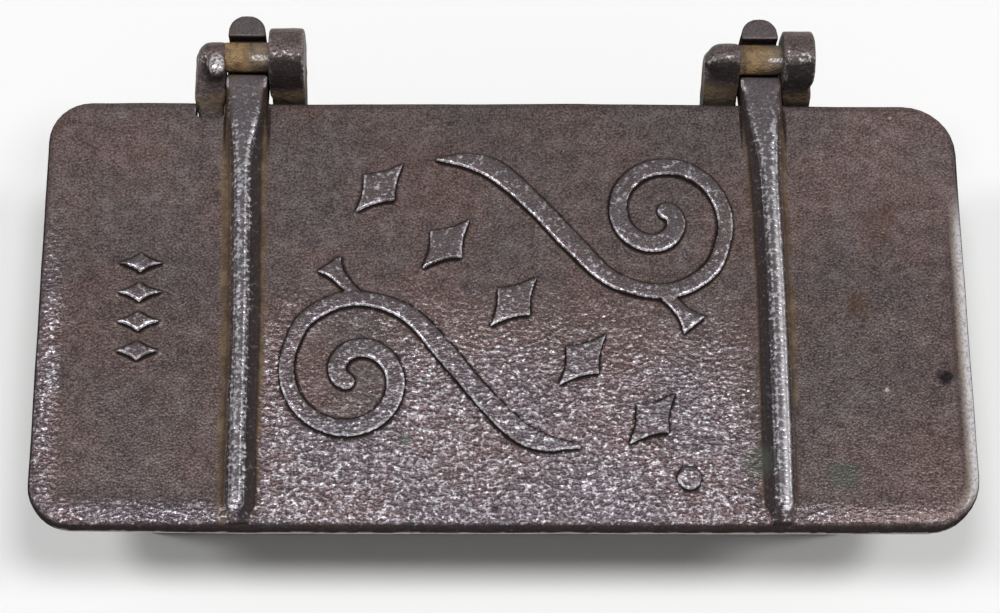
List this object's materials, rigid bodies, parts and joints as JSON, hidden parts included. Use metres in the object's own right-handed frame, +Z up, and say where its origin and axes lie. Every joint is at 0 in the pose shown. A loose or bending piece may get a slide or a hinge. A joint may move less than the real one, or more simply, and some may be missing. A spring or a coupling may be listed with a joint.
{
  "type": "tool box",
  "caption": "Tapered cast iron tool box with a flat ribbed lid that hooks round hinge bars at the back, with raised scrolls and lozenges on the lid.",
  "frame": {"origin": "middle of the flat underside of the box", "axes": "+X along the box, to the right seen from the front; +Y towards the hinges at the back; +Z up"},
  "size_m": [0.2816, 0.1624, 0.0969],
  "materials": {
    "box_iron": "dark brown sand-cast iron with rust in the corners",
    "lid_iron": "dark brown sand-cast iron, grainy, worn bright on the edges",
    "pin_iron": "rusty orange-brown iron bar"
  },
  "bodies": {
    "box": {"box": "box_iron", "left_hinge_pin": "pin_iron", "right_hinge_pin": "pin_iron"},
    "lid": {"lid": "lid_iron"}
  },
  "joints": [
    {"name": "lid_hinge", "type": "hinge", "parent": "box", "child": "lid", "pos_m": [0, 0.078, 0.0878], "axis": [-1, 0, 0], "range_deg": [0, 180]}
  ]
}
